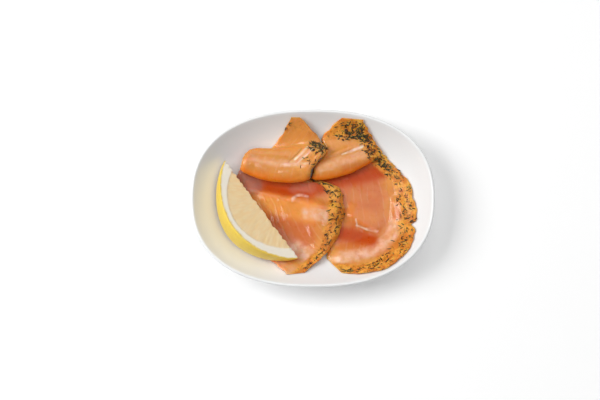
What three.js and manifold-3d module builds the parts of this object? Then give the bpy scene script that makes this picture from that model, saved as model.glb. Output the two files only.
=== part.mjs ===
// Gravlax: two folded slices of cured salmon edged with dill, and a lemon wedge, in an oval porcelain dish.
// Millimetres, +Z up. The origin is on the table under the middle of the dish. +X runs along the dish.
import * as THREE from "three";
import { mergeVertices } from "three/addons/utils/BufferGeometryUtils.js";
import Module from "manifold-3d";

const wasm = await Module();
wasm.setup();
const { lerp, smoothstep, degToRad } = THREE.MathUtils;

// Dish: a shallow oval with a floor that curves up into the wall, a rounded lip and a low foot ring.
const DISH_LENGTH = 170;
const DISH_WIDTH = 125;
const DISH_HEIGHT = 24;
const OVAL_POWER = 2.35; // 2 is an ellipse, higher is squarer
const FLOOR_HEIGHT = 4.5;
const FLOOR_THICKNESS = 3;
const WALL_RUN = 34; // how far in from the edge the wall starts to rise
const LIP_RADIUS = 1.2;
const FOOT_INSET = 28;
const FOOT_WIDTH = 4;
const FOOT_RECESS = 1.5;
const DISH_SEGMENTS = 60;
const WALL_STEPS = 6;
const LIP_STEPS = 4;

// Slices: sheets of one thickness, each with one deep pleat across it.
const SLICE_THICKNESS = 2.4;
const REST_GAP = 0.5; // clearance between a slice and what it lies on
const EDGE_THINNING = 0.35; // share of the thickness left at a cut edge
const EDGE_ROUNDING = 0.06; // share of the width over which the edge thins
const SLICE_COLUMNS = 13;
const PLEAT_GAP = 2.9; // height between the two lower layers of a pleat
const FLAP_SETTLE = 0.75; // share of the flap behind a pleat over which it comes down from the crest
const FLAP_BEND = 0.18; // share of the flap over which it first drops
const FLAP_DROP = 0.25; // share of the pleat's height of that drop
const CREASE_TAPER = 4; // how far from its end a crease starts to fade
const CREASE_SHARPNESS = 1.5; // 1 is a sharp ridge, 2 a round one

// Right slice: it fans out on its right side, whose edge is an arc and then a straight run to the top.
const FAN_CENTRE = [31, -11];
const FAN_RADIUS = 42;
const FAN_START = degToRad(-105);
const FAN_END = degToRad(42);
const FAN_SHARE = 0.523; // share of the edge that is the arc
const FAN_TOP = [35.5, 55.5];
const FAN_BULGE = -1.8; // how far the straight run bows out
const NOTCH = { at: 0.34, depth: 3.5, width: 0.01 };

// Lemon: about a ninth of a fruit, lying on one cut face with its rind against the wall of the dish.
const LEMON_LENGTH = 87;
const LEMON_RADIUS = 33;
const LEMON_FULLNESS = 0.62; // lower is blunter
const LEMON_SKEW = -0.03; // puts the thickest part nearer the eater
const LEMON_WEDGE = degToRad(38);
const LEMON_TIP_DOWN = degToRad(5); // how far the lower cut face slopes down to the rind
const LEMON_CORE_TRIM = 3.2;
const LEMON_MIDDLE = [-33.4, -5.3];
const LEMON_CORE_HEIGHT = 14.9;
const LEMON_HEADING = degToRad(216.5); // direction from the core to the rind

// Dill: chopped needles, scattered over the coated edge of each slice.
const NEEDLE_LENGTH = [3, 5.5];
const NEEDLE_WIDTH = 1.1;
const NEEDLE_HEIGHT = 0.9;

function seededRandom(seed) {
  let state = seed;
  return () => {
    state = (state + 0x6d2b79f5) | 0;
    let mixed = Math.imul(state ^ (state >>> 15), 1 | state);
    mixed = (mixed + Math.imul(mixed ^ (mixed >>> 7), 61 | mixed)) ^ mixed;
    return ((mixed ^ (mixed >>> 14)) >>> 0) / 4294967296;
  };
}

// Solids for joining and cutting, and back to geometry.
function solidFrom(geometry) {
  const bare = geometry.index ? geometry.toNonIndexed() : geometry.clone();
  bare.deleteAttribute("normal");
  bare.deleteAttribute("uv");
  const merged = mergeVertices(bare, 1e-4);
  const mesh = new wasm.Mesh({
    numProp: 3,
    vertProperties: merged.attributes.position.array,
    triVerts: new Uint32Array(merged.index.array),
  });
  return new wasm.Manifold(mesh);
}

function geometryFrom(solid) {
  const mesh = solid.getMesh();
  const geometry = new THREE.BufferGeometry();
  geometry.setAttribute("position", new THREE.BufferAttribute(new Float32Array(mesh.vertProperties), 3));
  geometry.setIndex(new THREE.BufferAttribute(new Uint32Array(mesh.triVerts), 1));
  geometry.computeVertexNormals();
  return geometry;
}

function largestBody(solid) {
  const bodies = solid.decompose();
  return bodies.reduce((best, body) => (body.volume() > best.volume() ? body : best));
}

// The oval, as the distance from the middle to its edge in one direction.
function ovalReach(angle, halfLength, halfWidth) {
  const along = Math.abs(Math.cos(angle)) / halfLength;
  const across = Math.abs(Math.sin(angle)) / halfWidth;
  return (along ** OVAL_POWER + across ** OVAL_POWER) ** (-1 / OVAL_POWER);
}

const halfLength = DISH_LENGTH / 2;
const halfWidth = DISH_WIDTH / 2;
const lipSlope = Math.atan((2 * (DISH_HEIGHT - FLOOR_HEIGHT)) / WALL_RUN);
const wallTopInset = LIP_RADIUS * (1 + Math.sin(lipSlope));
const wallRise = DISH_HEIGHT - FLOOR_HEIGHT - LIP_RADIUS * (1 - Math.cos(lipSlope));
const wallReach = WALL_RUN - wallTopInset;

// Height of the dish's inner surface at a distance in from its edge.
function innerHeight(inset) {
  const climb = Math.max(0, WALL_RUN - inset) / wallReach;
  return FLOOR_HEIGHT + wallRise * climb ** 2;
}

// Distance in from the edge of the dish to the oval that passes through a point, by halving.
function dishInset(x, y) {
  let low = 0;
  let high = halfWidth - 0.5;
  for (let step = 0; step < 30; step += 1) {
    const middle = (low + high) / 2;
    const along = Math.abs(x) / (halfLength - middle);
    const across = Math.abs(y) / (halfWidth - middle);
    if (along ** OVAL_POWER + across ** OVAL_POWER < 1) low = middle;
    else high = middle;
  }
  return low;
}

function dishHeight(x, y) {
  return innerHeight(dishInset(x, y));
}

// Section of the dish from the axis under the floor, out over the foot, up the wall, over the lip and back.
function dishSection() {
  const points = [];
  const add = (inset, z) => points.push(new THREE.Vector2(halfLength - inset, z));
  const wallPoint = (climb, depth) => {
    const slope = Math.atan((2 * wallRise * climb) / wallReach);
    const inset = WALL_RUN - wallReach * climb;
    add(inset - depth * Math.sin(slope), FLOOR_HEIGHT + wallRise * climb ** 2 - depth * Math.cos(slope));
  };
  add(halfLength, FOOT_RECESS);
  add(FOOT_INSET + FOOT_WIDTH + 1, FOOT_RECESS);
  add(FOOT_INSET + FOOT_WIDTH, 0);
  add(FOOT_INSET, 0);
  const footClimb = (WALL_RUN - FOOT_INSET + 2) / wallReach;
  for (let step = 0; step <= WALL_STEPS; step += 1) {
    const climb = lerp(footClimb, 1, step / WALL_STEPS);
    wallPoint(climb, lerp(FLOOR_THICKNESS, 2 * LIP_RADIUS, climb));
  }
  const lipR = halfLength - wallTopInset + LIP_RADIUS * Math.sin(lipSlope);
  const lipZ = FLOOR_HEIGHT + wallRise - LIP_RADIUS * Math.cos(lipSlope);
  for (let step = 1; step < LIP_STEPS; step += 1) {
    const angle = lipSlope - Math.PI / 2 + (Math.PI * step) / LIP_STEPS;
    add(halfLength - lipR - LIP_RADIUS * Math.cos(angle), lipZ + LIP_RADIUS * Math.sin(angle));
  }
  for (let step = WALL_STEPS; step >= 0; step -= 1) wallPoint(step / WALL_STEPS, 0);
  add(halfLength, FLOOR_HEIGHT);
  return points;
}

function dishGeometry() {
  const geometry = new THREE.LatheGeometry(dishSection(), DISH_SEGMENTS);
  geometry.rotateX(Math.PI / 2);
  const position = geometry.attributes.position;
  const floorRadius = halfLength - WALL_RUN;
  for (let i = 0; i < position.count; i += 1) {
    const x = position.getX(i);
    const y = position.getY(i);
    const radius = Math.hypot(x, y);
    const angle = Math.atan2(y, x);
    const inset = Math.min(halfLength - radius, WALL_RUN);
    const reach = ovalReach(angle, halfLength - inset, halfWidth - inset);
    const ringRadius = reach * Math.min(1, radius / floorRadius);
    position.setX(i, ringRadius * Math.cos(angle));
    position.setY(i, ringRadius * Math.sin(angle));
  }
  return geometryFrom(solidFrom(geometry));
}

// Edges of a slice in plan, each a function of the share of the way from its near end to its far end.
function splineEdge(points) {
  const curve = new THREE.SplineCurve(points.map(([x, y]) => new THREE.Vector2(x, y)));
  return (along) => curve.getPoint(along);
}

function fanEdge(along) {
  const turn = lerp(FAN_START, FAN_END, Math.min(1, along / FAN_SHARE));
  const notch = NOTCH.depth * Math.exp(-(((along - NOTCH.at) / NOTCH.width) ** 2));
  const radius = ovalReach(turn, FAN_RADIUS, FAN_RADIUS) - notch;
  const straight = Math.max(0, along - FAN_SHARE) / (1 - FAN_SHARE);
  const bulge = FAN_BULGE * Math.sin(Math.PI * straight);
  const point = new THREE.Vector2(FAN_CENTRE[0], FAN_CENTRE[1]);
  point.x += radius * Math.cos(turn);
  point.y += radius * Math.sin(turn);
  point.lerp(new THREE.Vector2(...FAN_TOP), straight);
  return point.add(new THREE.Vector2(bulge * Math.cos(FAN_END), bulge * Math.sin(FAN_END)));
}

// Height that soft ridges add at a point: each follows a line and falls off to both sides.
function ridgeLift(ridges, x, y) {
  let lift = 0;
  for (const { line, height, width } of ridges) {
    let nearest = Infinity;
    for (let i = 1; i < line.length; i += 1) {
      const [ax, ay] = line[i - 1];
      const [bx, by] = line[i];
      const share = ((x - ax) * (bx - ax) + (y - ay) * (by - ay)) / ((bx - ax) ** 2 + (by - ay) ** 2);
      const held = Math.min(1, Math.max(0, share));
      nearest = Math.min(nearest, Math.hypot(x - lerp(ax, bx, held), y - lerp(ay, by, held)));
    }
    lift += height * Math.exp(-((nearest / width) ** 2));
  }
  return lift;
}

// Height that straight creases add at a point: each falls off at its own pace behind and before its line.
function creaseLift(creases, x, y) {
  let lift = 0;
  for (const { from, to, height, behind, before } of creases) {
    const length = Math.hypot(to[0] - from[0], to[1] - from[1]);
    const along = ((x - from[0]) * (to[0] - from[0]) + (y - from[1]) * (to[1] - from[1])) / length;
    const side = ((y - from[1]) * (to[0] - from[0]) - (x - from[0]) * (to[1] - from[1])) / length;
    const ends = smoothstep(Math.min(along, length - along), -CREASE_TAPER, CREASE_TAPER);
    const off = Math.abs(side) / (side > 0 ? behind : before);
    lift += height * ends * Math.exp(-(off ** CREASE_SHARPNESS));
  }
  return lift;
}

// Where the left slice climbs over the edge of the right one.
const OVERLAP_LINE = { near: [9.5, -40], far: [3.5, 16] };
const OVERLAP_CLIMB = 20;
const OVERLAP_LIFT = 3.1;

function overlapLift(x, y) {
  const { near, far } = OVERLAP_LINE;
  const length = Math.hypot(far[0] - near[0], far[1] - near[1]);
  const side = ((x - near[0]) * (far[1] - near[1]) - (y - near[1]) * (far[0] - near[0])) / length;
  return OVERLAP_LIFT * smoothstep(side, -OVERLAP_CLIMB, -0.5);
}

const rightSlice = {
  seed: 11,
  leftEdge: splineEdge([
    [9, -40],
    [10.5, -31],
    [11, -22],
    [10.5, -13],
    [9, -4],
    [6.5, 5],
    [4.4, 12],
    [0.6, 19.7],
    [10.5, 32.5],
    [6.2, 45],
    [20.5, 57],
  ]),
  rightEdge: fanEdge,
  overlap: () => 0,
  rows: { before: 24, fold: 15, after: 9 },
  fold: { at: 0.7, advance: 0.04, reach: 5.5, rise: 11.5, fade: 0.95, bulge: 0.6 },
  ridges: [
    { line: [[20, -39], [36, -34], [53, -30], [60, -17], [61, -3]], height: 2.2, width: 5 },
  ],
  creases: [{ from: [25, -9], to: [47, -22], height: 2.8, behind: 9, before: 3.2 }],
  dill: [
    { count: 50, along: [0.02, 0.48], across: [0.82, 0.975] },
    { count: 14, along: [0.48, 0.78], across: [0.84, 0.965] },
    { count: 16, along: [0.78, 0.93], across: [0.74, 0.97] },
    { count: 18, along: [0.92, 0.985], across: [0.2, 0.94] },
  ],
};

const leftSlice = {
  seed: 29,
  leftEdge: splineEdge([
    [-17.5, -53],
    [-31, -40.5],
    [-46, -6.5],
    [-54, 13.5],
    [-51.5, 24],
    [-45, 34.5],
    [-30, 36.5],
    [-15.5, 57.5],
  ]),
  rightEdge: splineEdge([
    [-5, -51.5],
    [13.3, -33.3],
    [22.3, -11],
    [19.5, 8.5],
    [-1.5, 17],
    [12, 32],
    [5.2, 43],
    [-8.5, 57],
  ]),
  overlap: overlapLift,
  rows: { before: 22, fold: 15, after: 11 },
  fold: { at: 0.59, advance: 0.04, reach: 5, rise: 13, fade: 0, bulge: 0.9 },
  ridges: [
    { line: [[-50, 19], [-43, 9]], height: 2, width: 5 },
    { line: [[5, 30], [12, 34]], height: 4, width: 6 },
  ],
  creases: [{ from: [-49, 8], to: [19, -8], height: 4.4, behind: 3.8, before: 11 }],
  dill: [
    { count: 48, along: [0.03, 0.4], across: [0.86, 0.97] },
    { count: 16, along: [0.76, 0.88], across: [0.78, 0.96] },
  ],
};

// A place along a slice: the share of its plan length, and how far through its pleat it is.
function stationAt(slice, along) {
  const { before, fold, after } = slice.rows;
  const row = along * (before + fold + after);
  const foldStart = slice.fold.at - slice.fold.advance / 2;
  const foldEnd = slice.fold.at + slice.fold.advance / 2;
  if (row < before) return { along: (foldStart * row) / before, turn: 0 };
  if (row < before + fold) {
    const turn = (row - before) / fold;
    return { along: lerp(foldStart, foldEnd, turn), turn };
  }
  return { along: lerp(foldEnd, 1, (row - before - fold) / after), turn: 1 };
}

function planPoint(slice, along, across) {
  return slice.leftEdge(along).lerp(slice.rightEdge(along), across);
}

// The height of one round bend of a pleat, from 0 to 1.
function bend(share) {
  const held = Math.min(1, Math.max(0, share));
  return (1 - Math.cos(Math.PI * held)) / 2;
}

// How much of a pleat's height is left behind its crest: a short drop, then a slow one down to the wall.
function flapHeight(share) {
  const shortDrop = FLAP_DROP * smoothstep(share, 0, FLAP_BEND);
  const slowDrop = (1 - FLAP_DROP) * smoothstep(share, FLAP_BEND / 2, FLAP_SETTLE);
  return 1 - shortDrop - slowDrop;
}

// Middle of the sheet. The pleat runs on under itself, back towards the near end, and rolls over on top.
function sheetPoint(slice, place, across) {
  const { along, turn } = stationAt(slice, place);
  const { at, advance, reach, rise, fade, bulge } = slice.fold;
  const keep = 1 - fade * across ** 2;
  const open = Math.max(0, keep - 0.3) / 0.7;
  const bowed = 1 + bulge * 4 * across * (1 - across);
  const plan = planPoint(slice, along, across);
  const heading = planPoint(slice, at + advance, across);
  heading.sub(planPoint(slice, at - advance, across)).normalize();
  plan.addScaledVector(heading, reach * open * bowed * Math.sin(2 * Math.PI * turn));
  const crest = at + advance / 2;
  const behindCrest = (along - crest) / (1 - crest);
  const settled = flapHeight(behindCrest);
  const lowerBend = PLEAT_GAP * smoothstep(keep, 0.1, 0.4) * bend(2 * turn);
  const upperBend = (rise - PLEAT_GAP) * keep * bend(2 * turn - 1);
  const foldLift = settled * (lowerBend + upperBend);
  const floor = dishHeight(plan.x, plan.y);
  const step = 0.5;
  const slope = Math.hypot(
    (dishHeight(plan.x + step, plan.y) - floor) / step,
    (dishHeight(plan.x, plan.y + step) - floor) / step,
  );
  const rest = (SLICE_THICKNESS / 2 + REST_GAP) * Math.hypot(1, slope);
  const bumps = ridgeLift(slice.ridges, plan.x, plan.y) + creaseLift(slice.creases, plan.x, plan.y);
  return new THREE.Vector3(plan.x, plan.y, floor + rest + foldLift + bumps + slice.overlap(plan.x, plan.y));
}

function sheetNormal(slice, place, across) {
  const step = 0.004;
  const ahead = sheetPoint(slice, Math.min(1, place + step), across);
  const behind = sheetPoint(slice, Math.max(0, place - step), across);
  const right = sheetPoint(slice, place, Math.min(1, across + step));
  const left = sheetPoint(slice, place, Math.max(0, across - step));
  return right.sub(left).cross(ahead.sub(behind)).normalize();
}

// Half the thickness, thinner in a round towards every edge.
function halfThickness(place, across) {
  const inward = Math.min(place, 1 - place, across, 1 - across) / EDGE_ROUNDING;
  const round = Math.sqrt(1 - (1 - Math.min(1, inward)) ** 2);
  return (SLICE_THICKNESS / 2) * lerp(EDGE_THINNING, 1, round);
}

// Middle of the sheet with its thin edges let down, so that their underside lies as low as the rest.
function restedPoint(slice, place, across) {
  const middle = sheetPoint(slice, place, across);
  middle.z -= SLICE_THICKNESS / 2 - halfThickness(place, across);
  return middle;
}

// The slice as a closed sheet: a top and a bottom grid split alike, and a wall round the edge.
function sliceGeometry(slice) {
  const rows = slice.rows.before + slice.rows.fold + slice.rows.after;
  const columns = SLICE_COLUMNS;
  const top = [];
  const bottom = [];
  for (let row = 0; row <= rows; row += 1) {
    for (let column = 0; column <= columns; column += 1) {
      const place = row / rows;
      const across = (1 - Math.cos((Math.PI * column) / columns)) / 2;
      const middle = restedPoint(slice, place, across);
      const offset = sheetNormal(slice, place, across).multiplyScalar(halfThickness(place, across));
      top.push(...middle.clone().add(offset).toArray());
      bottom.push(...middle.sub(offset).toArray());
    }
  }
  const under = (rows + 1) * (columns + 1);
  const at = (row, column) => row * (columns + 1) + column;
  const faces = [];
  const quad = (a, b, c, d) => faces.push(a, b, c, a, c, d);
  for (let row = 0; row < rows; row += 1) {
    for (let column = 0; column < columns; column += 1) {
      const corners = [at(row, column), at(row, column + 1), at(row + 1, column + 1), at(row + 1, column)];
      const [a, b, c, d] = corners;
      quad(a, b, c, d);
      faces.push(under + a, under + c, under + b, under + a, under + d, under + c);
    }
  }
  const rim = [];
  for (let column = 0; column < columns; column += 1) rim.push(at(0, column));
  for (let row = 0; row < rows; row += 1) rim.push(at(row, columns));
  for (let column = columns; column > 0; column -= 1) rim.push(at(rows, column));
  for (let row = rows; row > 0; row -= 1) rim.push(at(row, 0));
  rim.forEach((from, i) => {
    const to = rim[(i + 1) % rim.length];
    quad(under + from, under + to, to, from);
  });
  const geometry = new THREE.BufferGeometry();
  geometry.setAttribute("position", new THREE.Float32BufferAttribute([...top, ...bottom], 3));
  geometry.setIndex(faces);
  return geometry;
}

// One dill needle, a thin spindle lying on the slice at a random angle.
function needleSolid(slice, place, across, random) {
  const normal = sheetNormal(slice, place, across);
  const seat = restedPoint(slice, place, across).addScaledVector(normal, halfThickness(place, across) + 0.1);
  const spin = random() * Math.PI;
  const flat = new THREE.Vector3(Math.cos(spin), Math.sin(spin), 0);
  const axis = flat.addScaledVector(normal, -flat.dot(normal)).normalize();
  const side = new THREE.Vector3().crossVectors(normal, axis);
  const length = lerp(NEEDLE_LENGTH[0], NEEDLE_LENGTH[1], random());
  const needle = new THREE.OctahedronGeometry(1);
  needle.scale(length / 2, NEEDLE_WIDTH / 2, NEEDLE_HEIGHT / 2);
  needle.applyMatrix4(new THREE.Matrix4().makeBasis(axis, side, normal).setPosition(seat));
  return solidFrom(needle);
}

function coatedSlice(slice) {
  const random = seededRandom(slice.seed);
  const pieces = [solidFrom(sliceGeometry(slice))];
  for (const { count, along, across } of slice.dill) {
    for (let i = 0; i < count; i += 1) {
      const place = lerp(along[0], along[1], (i + random()) / count);
      pieces.push(needleSolid(slice, place, lerp(across[0], across[1], random()), random));
    }
  }
  return geometryFrom(largestBody(wasm.Manifold.union(pieces)));
}

// The wedge: a whole lemon turned on its axis, cut by a sector that leaves out the pithy core.
function lemonGeometry() {
  const steps = 22;
  const outline = [];
  for (let step = 0; step <= steps; step += 1) {
    const share = (2 * step) / steps - 1;
    const swing = (Math.PI / 2) * (share - LEMON_SKEW * (1 - share ** 2));
    const radius = LEMON_RADIUS * Math.max(0, Math.cos(swing)) ** LEMON_FULLNESS;
    const onAxis = step === 0 || step === steps;
    outline.push(new THREE.Vector2(onAxis ? 0 : radius, (share * LEMON_LENGTH) / 2));
  }
  const fruit = new THREE.LatheGeometry(outline, 96).rotateX(Math.PI / 2);
  const lower = -LEMON_TIP_DOWN;
  const upper = LEMON_WEDGE - LEMON_TIP_DOWN;
  const corner = (radius, angle) => new THREE.Vector2(radius * Math.cos(angle), radius * Math.sin(angle));
  const past = 2 * LEMON_RADIUS;
  const sector = new THREE.Shape([
    corner(LEMON_CORE_TRIM, lower),
    corner(past, lower),
    corner(past, upper),
    corner(LEMON_CORE_TRIM, upper),
  ]);
  const cutter = new THREE.ExtrudeGeometry(sector, { depth: LEMON_LENGTH, bevelEnabled: false });
  cutter.translate(0, 0, -LEMON_LENGTH / 2);
  return geometryFrom(solidFrom(fruit).intersect(solidFrom(cutter)));
}

function placedLemon(mesh) {
  const out = new THREE.Vector3(Math.cos(LEMON_HEADING), Math.sin(LEMON_HEADING), 0);
  const up = new THREE.Vector3(0, 0, 1);
  const along = new THREE.Vector3().crossVectors(out, up);
  mesh.setRotationFromMatrix(new THREE.Matrix4().makeBasis(out, up, along));
  mesh.position.set(...LEMON_MIDDLE, LEMON_CORE_HEIGHT);
  return mesh;
}

function namedMesh(name, geometry, colour, roughness) {
  const material = new THREE.MeshStandardMaterial({ color: colour, roughness, metalness: 0 });
  const mesh = new THREE.Mesh(geometry, material);
  mesh.name = name;
  return mesh;
}

const plate = new THREE.Group();
plate.add(
  namedMesh("dish", dishGeometry(), 0xf1eee9, 0.15),
  namedMesh("slice_right", coatedSlice(rightSlice), 0xe08a52, 0.3),
  namedMesh("slice_left", coatedSlice(leftSlice), 0xe08a52, 0.3),
  placedLemon(namedMesh("lemon_wedge", lemonGeometry(), 0xecd27a, 0.4)),
);

export default plate;
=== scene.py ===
# Gravlax: two folded slices of cured salmon edged with dill, and a lemon wedge, in an oval porcelain dish.
# Metres and +Z up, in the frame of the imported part. Sizes are written in millimetres and scaled by MM.
import math

import bpy
import numpy as np
from mathutils import Matrix, Vector, noise


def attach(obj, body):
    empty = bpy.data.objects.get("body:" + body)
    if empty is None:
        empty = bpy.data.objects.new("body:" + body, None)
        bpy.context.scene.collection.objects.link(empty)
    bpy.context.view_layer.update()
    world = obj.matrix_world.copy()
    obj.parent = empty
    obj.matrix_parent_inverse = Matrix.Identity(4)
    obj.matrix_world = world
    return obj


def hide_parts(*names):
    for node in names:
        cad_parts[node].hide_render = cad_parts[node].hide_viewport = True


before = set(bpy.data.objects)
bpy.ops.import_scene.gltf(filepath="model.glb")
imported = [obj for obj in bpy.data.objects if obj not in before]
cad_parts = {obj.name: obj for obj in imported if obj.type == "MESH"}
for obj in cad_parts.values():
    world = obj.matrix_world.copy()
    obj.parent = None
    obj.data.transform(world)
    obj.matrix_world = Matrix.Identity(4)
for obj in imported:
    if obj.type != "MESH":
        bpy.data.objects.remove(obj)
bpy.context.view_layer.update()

# Dish
# A shallow oval dish of white porcelain, pressed in one piece and glazed all over but for its foot.
# The floor curves up into the wall, the lip is rounded, and a low ring under the floor stands on the table.
MM = 0.001
HALF_LENGTH = 85.0
HALF_WIDTH = 62.5
RIM_HEIGHT = 24.0
OVAL_POWER = 2.35  # 2 is an ellipse, higher is squarer
FLOOR_HEIGHT = 4.5
FLOOR_THICKNESS = 3.0
WALL_RUN = 34.0  # how far in from the edge the wall starts to rise
LIP_RADIUS = 1.2
FOOT_INSET = 28.0
FOOT_WIDTH = 4.0
FOOT_RECESS = 1.5
FOOT_ROUNDING = 0.35
FOOT_SLOPE = 1.0  # how far the inner side of the foot leans in
FOOT_FILLET = 2.0  # how far out from the foot the underside of the wall starts
DISH_SEGMENTS = 168
WALL_STEPS = 22
LIP_STEPS = 8
FLOOR_RINGS = (0.97, 0.85, 0.6, 0.3, 0.08)
UNDERSIDE_RINGS = (0.1, 0.5, 0.9)
SHARP_ANGLE = math.radians(50)
PORCELAIN_WHITE = (0.885, 0.89, 0.89, 1.0)
PORCELAIN_SHADE = (0.855, 0.86, 0.86, 1.0)
BARE_CLAY = (0.72, 0.68, 0.61, 1.0)
BARE_BELOW, GLAZED_ABOVE = 0.2, 0.5  # heights over the table
GLAZE_ROUGHNESS = (0.16, 0.24)
CLAY_ROUGHNESS = 0.8

LIP_SLOPE = math.atan(2 * (RIM_HEIGHT - FLOOR_HEIGHT) / WALL_RUN)
WALL_TOP = LIP_RADIUS * (1 + math.sin(LIP_SLOPE))
WALL_RISE = RIM_HEIGHT - FLOOR_HEIGHT - LIP_RADIUS * (1 - math.cos(LIP_SLOPE))
WALL_REACH = WALL_RUN - WALL_TOP


def lerp(low, high, share):
    return low + (high - low) * share


def oval_reach(angle, half_length, half_width):
    """Distance from the middle of the oval to its edge in one direction."""
    along = abs(math.cos(angle)) / half_length
    across = abs(math.sin(angle)) / half_width
    return (along**OVAL_POWER + across**OVAL_POWER) ** (-1 / OVAL_POWER)


def ring_at(inset, height, share=1.0):
    """One ring of the dish: half its length, half its width and its height."""
    return (HALF_LENGTH - inset) * share, (HALF_WIDTH - inset) * share, height


def wall_ring(climb, depth):
    """A ring of the wall, at a depth under its inner face."""
    slope = math.atan(2 * WALL_RISE * climb / WALL_REACH)
    inset = WALL_RUN - WALL_REACH * climb
    height = FLOOR_HEIGHT + WALL_RISE * climb**2
    return ring_at(inset - depth * math.sin(slope), height - depth * math.cos(slope))


def lip_ring(angle):
    """A ring of the rounded lip, at an angle round its section."""
    inset = WALL_TOP - LIP_RADIUS * math.sin(LIP_SLOPE)
    height = FLOOR_HEIGHT + WALL_RISE - LIP_RADIUS * math.cos(LIP_SLOPE)
    return ring_at(inset - LIP_RADIUS * math.cos(angle), height + LIP_RADIUS * math.sin(angle))


def dish_rings():
    """The section of the dish, from the middle underneath, out over the foot and the lip, to the floor."""
    foot_inner = FOOT_INSET + FOOT_WIDTH
    rings = [ring_at(foot_inner, FOOT_RECESS, share) for share in UNDERSIDE_RINGS]
    rings += [
        ring_at(foot_inner + FOOT_SLOPE, FOOT_RECESS),
        ring_at(foot_inner + FOOT_ROUNDING, FOOT_ROUNDING),
        ring_at(foot_inner - FOOT_ROUNDING, 0),
        ring_at(FOOT_INSET + FOOT_ROUNDING, 0),
        ring_at(FOOT_INSET - FOOT_ROUNDING / 2, FOOT_ROUNDING),
    ]
    foot_climb = (WALL_RUN - FOOT_INSET + FOOT_FILLET) / WALL_REACH
    for step in range(WALL_STEPS + 1):
        climb = lerp(foot_climb, 1, step / WALL_STEPS)
        rings.append(wall_ring(climb, lerp(FLOOR_THICKNESS, 2 * LIP_RADIUS, climb)))
    for step in range(1, LIP_STEPS):
        rings.append(lip_ring(LIP_SLOPE - math.pi / 2 + math.pi * step / LIP_STEPS))
    for step in range(WALL_STEPS, -1, -1):
        rings.append(wall_ring(step / WALL_STEPS, 0))
    rings += [ring_at(WALL_RUN, FLOOR_HEIGHT, share) for share in FLOOR_RINGS]
    return rings


def new_piece(name, add_primitive, **settings):
    """A primitive as the only selected object, under its own name."""
    bpy.ops.object.select_all(action="DESELECT")
    add_primitive(**settings)
    piece = bpy.context.object
    piece.name = name
    piece.data.name = name
    return piece


def finish_piece(piece, material, slot, *nodes):
    """Gives a piece its material, hangs it on the root body, and hides the CAD nodes that it stands for."""
    piece.data.materials.clear()
    piece.data.materials.append(material)
    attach(piece, "root")
    if nodes:
        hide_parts(*nodes)


def new_material(name):
    material = bpy.data.materials.new(name)
    material.use_nodes = True
    tree = material.node_tree
    return material, tree, tree.nodes["Principled BSDF"]


def feed(tree, socket, value):
    """Links a socket to another one, or sets it to a value."""
    if isinstance(value, bpy.types.NodeSocket):
        tree.links.new(value, socket)
    else:
        socket.default_value = value


def feed_all(tree, node, inputs):
    """Feeds the inputs of a node by their names."""
    for name, value in inputs.items():
        feed(tree, node.inputs[name], value)


def add_node(tree, kind, inputs=(), **settings):
    """A shader node with its settings and its inputs."""
    made = tree.nodes.new("ShaderNode" + kind)
    for name, value in settings.items():
        setattr(made, name, value)
    feed_all(tree, made, dict(inputs))
    return made


def object_place(tree):
    return add_node(tree, "TexCoord").outputs["Object"]


def noise_value(tree, place, scale, detail=3.0, roughness=0.5):
    inputs = {"Vector": place, "Scale": scale, "Detail": detail, "Roughness": roughness}
    return add_node(tree, "TexNoise", inputs).outputs["Fac"]


def ranged(tree, value, low, high, to_low=0.0, to_high=1.0):
    """A value mapped smoothly from one range to another and held inside it."""
    inputs = {"Value": value, "From Min": low, "From Max": high, "To Min": to_low, "To Max": to_high}
    return add_node(tree, "MapRange", inputs, interpolation_type="SMOOTHSTEP").outputs["Result"]


def mixed_colour(tree, share, first, second):
    made = add_node(tree, "Mix", {"Factor": share}, data_type="RGBA")
    feed(tree, made.inputs[6], first)
    feed(tree, made.inputs[7], second)
    return made.outputs[2]


def calculated(tree, operation, *values):
    made = add_node(tree, "Math", operation=operation)
    for socket, value in zip(made.inputs, values):
        feed(tree, socket, value)
    return made.outputs[0]


def bumped(tree, height, distance, strength=1.0, normal=None):
    inputs = {"Height": height, "Distance": distance, "Strength": strength}
    if normal is not None:
        inputs["Normal"] = normal
    return add_node(tree, "Bump", inputs).outputs["Normal"]


def glazed_porcelain():
    """White glaze with a faint ripple, over clay that is left bare under the foot."""
    material, tree, shader = new_material("glazed_porcelain")
    place = object_place(tree)
    height = add_node(tree, "SeparateXYZ", {"Vector": place}).outputs["Z"]
    bare = ranged(tree, height, BARE_BELOW * MM, GLAZED_ABOVE * MM, 1.0, 0.0)
    cloud = noise_value(tree, place, 18.0)
    glaze = mixed_colour(tree, ranged(tree, cloud, 0.35, 0.7), PORCELAIN_WHITE, PORCELAIN_SHADE)
    streak = noise_value(tree, place, 60.0)
    glaze_rough = ranged(tree, streak, 0.3, 0.7, *GLAZE_ROUGHNESS)
    clay_rough = calculated(tree, "MULTIPLY", bare, CLAY_ROUGHNESS)
    ripple = noise_value(tree, place, 110.0, 2.0)
    feed_all(tree, shader, {
        "Base Color": mixed_colour(tree, bare, glaze, BARE_CLAY),
        "Roughness": calculated(tree, "MAXIMUM", glaze_rough, clay_rough),
        "Normal": bumped(tree, ripple, 0.05 * MM, 0.35),
        "IOR": 1.5,
    })
    return material


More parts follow.
